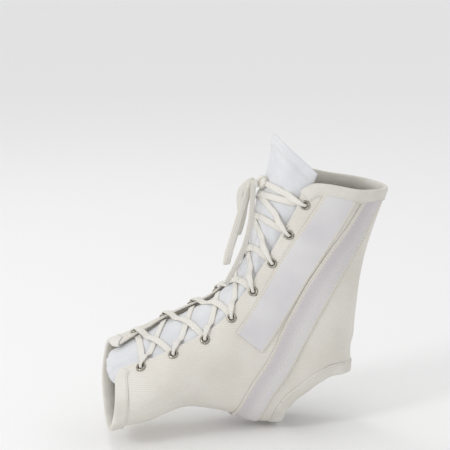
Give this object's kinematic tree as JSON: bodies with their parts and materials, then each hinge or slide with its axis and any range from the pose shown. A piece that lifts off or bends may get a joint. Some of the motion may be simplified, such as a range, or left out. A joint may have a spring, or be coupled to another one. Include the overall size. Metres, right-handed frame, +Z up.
{
  "type": "lace-up ankle brace",
  "caption": "Canvas ankle brace laced over a tongue, with open toe and heel, bound edges, a strap under the sole and a tied bow.",
  "frame": {"origin": "middle of the ankle hollow, half way between the two sides", "axes": "+Z up, +X towards the heel, -X towards the toe opening, +Y to the far side of the picture"},
  "size_m": [0.2224, 0.0918, 0.2273],
  "materials": {
    "canvas": "cream cotton canvas with a fine cross rib",
    "quilted_cloth": "soft white padded cloth, stitched near its edge",
    "binding_tape": "cream woven tape",
    "satin_band": "cool white band with a satin sheen",
    "webbing": "cross-ribbed webbing",
    "nickel": "polished nickel-plated eyelets",
    "braid": "flat white braided lace"
  },
  "bodies": {
    "root": {"canvas_shell": "canvas", "tongue": "quilted_cloth", "top_binding": "binding_tape", "toe_binding": "binding_tape", "heel_binding": "binding_tape", "side_panel_near": "satin_band", "side_panel_far": "satin_band", "stirrup_strap": "webbing", "eyelet_near_1": "nickel", "eyelet_near_2": "nickel", "eyelet_near_3": "nickel", "eyelet_near_4": "nickel", "eyelet_near_5": "nickel", "eyelet_near_6": "nickel", "eyelet_near_7": "nickel", "eyelet_near_8": "nickel", "eyelet_far_1": "nickel", "eyelet_far_2": "nickel", "eyelet_far_3": "nickel", "eyelet_far_4": "nickel", "eyelet_far_5": "nickel", "eyelet_far_6": "nickel", "eyelet_far_7": "nickel", "eyelet_far_8": "nickel", "lace": "braid", "lace_knot": "braid", "bow_loop_near": "braid", "bow_loop_far": "braid", "lace_end_near": "braid", "lace_end_far": "braid"}
  },
  "joints": []
}
